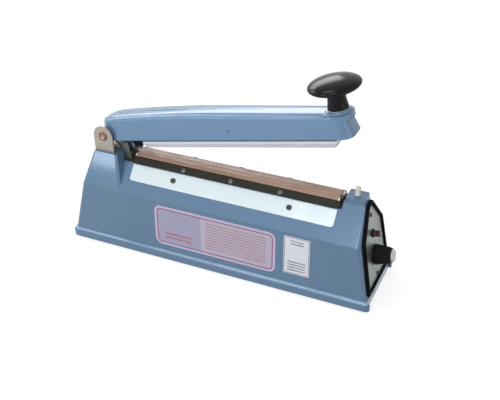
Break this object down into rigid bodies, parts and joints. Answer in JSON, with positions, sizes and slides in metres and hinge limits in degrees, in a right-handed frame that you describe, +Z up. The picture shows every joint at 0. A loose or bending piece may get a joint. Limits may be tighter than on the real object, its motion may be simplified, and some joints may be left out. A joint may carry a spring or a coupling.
{
  "type": "impulse heat sealer",
  "caption": "Bench-top impulse heat sealer: long blue body, raised hinged arm with a mushroom knob, seal bar under non-stick cloth, timer knob and lamp on the front end.",
  "frame": {"origin": "on the table under the middle of the overall box", "axes": "+X from the rear hinge to the front control panel, +Y across the body, away from the labelled side, +Z up"},
  "size_m": [0.3342, 0.078, 0.214],
  "materials": {
    "body_paint": "blue enamel with a soft gloss",
    "zinc_sheet": "zinc-plated sheet",
    "zinc_screw": "plated steel",
    "dark_screw": "dark plated steel",
    "foot_rubber": "black rubber",
    "polished_cover": "pale polished sheet",
    "phenolic_base": "brown laminated phenolic",
    "bar_aluminium": "extruded aluminium",
    "glass_tape": "woven glass tape",
    "nichrome": "flat resistance ribbon",
    "ptfe_cloth": "tan coated glass cloth, slightly shiny",
    "clamp_strip": "dark olive-black coated strip",
    "bracket_steel": "plated steel, dulled",
    "hinge_steel": "warm grey plated steel",
    "pin_steel": "browned steel",
    "spring_steel": "spring wire",
    "holder_aluminium": "satin aluminium",
    "silicone": "pale grey silicone rubber",
    "black_rubber": "black rubber",
    "knob_plastic": "black bakelite, glossy",
    "frame_plastic": "black moulded plastic",
    "panel_face": "brushed silver face",
    "timer_plastic": "black ribbed plastic",
    "cap_plastic": "pale grey cap",
    "phenolic_board": "moulded potentiometer case",
    "circuit_board": "green laminate",
    "lamp_lens": "dark red lens",
    "plunger_plastic": "white moulded plastic",
    "core_steel": "varnished laminations",
    "copper_coil": "wound and taped coil",
    "label_lilac": "printed foil label",
    "label_white": "printed foil label"
  },
  "bodies": {
    "base": {"casing": "body_paint", "bottom_plate": "zinc_sheet", "base_screws": "zinc_screw", "rubber_feet": "foot_rubber", "foot_screws": "zinc_screw", "side_cover_near": "polished_cover", "side_cover_far": "polished_cover", "side_cover_screws": "dark_screw", "bar_base": "phenolic_base", "seal_bar": "bar_aluminium", "element_tape": "glass_tape", "heating_element": "nichrome", "ptfe_cloth": "ptfe_cloth", "cloth_clamp_near": "clamp_strip", "cloth_clamp_far": "clamp_strip", "cloth_clamp_screws": "zinc_screw", "rear_end_bracket": "bracket_steel", "front_end_bracket": "bracket_steel", "end_bracket_screws": "zinc_screw", "hinge_bracket": "hinge_steel", "hinge_bracket_screws": "zinc_screw", "hinge_pin": "pin_steel", "pin_clip": "dark_screw", "hinge_washers": "zinc_screw", "return_spring": "spring_steel", "panel_bezel": "frame_plastic", "control_panel": "panel_face", "panel_screws": "dark_screw", "timer_potentiometer": "phenolic_board", "timer_nut": "zinc_screw", "timer_board": "circuit_board", "board_spacers": "zinc_screw", "indicator_lamp": "lamp_lens", "lamp_holder": "frame_plastic", "micro_switch": "frame_plastic", "switch_bracket": "bracket_steel", "transformer_core": "core_steel", "transformer_coil": "copper_coil", "transformer_frame": "zinc_sheet", "transformer_screws": "zinc_screw", "terminal_block": "plunger_plastic", "cord_bushing": "black_rubber", "instruction_label": "label_lilac", "rating_label": "label_white"},
    "arm": {"arm_casting": "body_paint", "pad_holder": "holder_aluminium", "silicone_pad": "silicone", "holder_pin": "zinc_screw", "arm_stop": "black_rubber", "handle_knob": "knob_plastic", "knob_stud": "zinc_screw", "knob_collar": "zinc_screw"},
    "timer": {"timer_knob": "timer_plastic", "knob_cap": "cap_plastic", "timer_shaft": "zinc_screw"},
    "plunger": {"switch_plunger": "plunger_plastic"}
  },
  "joints": [
    {"name": "arm_hinge", "type": "hinge", "parent": "base", "child": "arm", "pos_m": [-0.12844, 0, 0.1176], "axis": [0, 1, 0], "range_deg": [0, 12], "stiffness_Nm_per_rad": 4, "springref_deg": -20.05, "deforming": ["return_spring"]},
    {"name": "timer_turn", "type": "hinge", "parent": "base", "child": "timer", "pos_m": [0.14817, 0, 0.04166], "axis": [-0.9863, 0, -0.165], "range_deg": [0, 280]},
    {"name": "plunger_press", "type": "slide", "parent": "base", "child": "plunger", "axis": [0, 0, -1], "range_m": [0, 0.002], "stiffness_N_per_m": 400, "springref_m": -0.002}
  ]
}
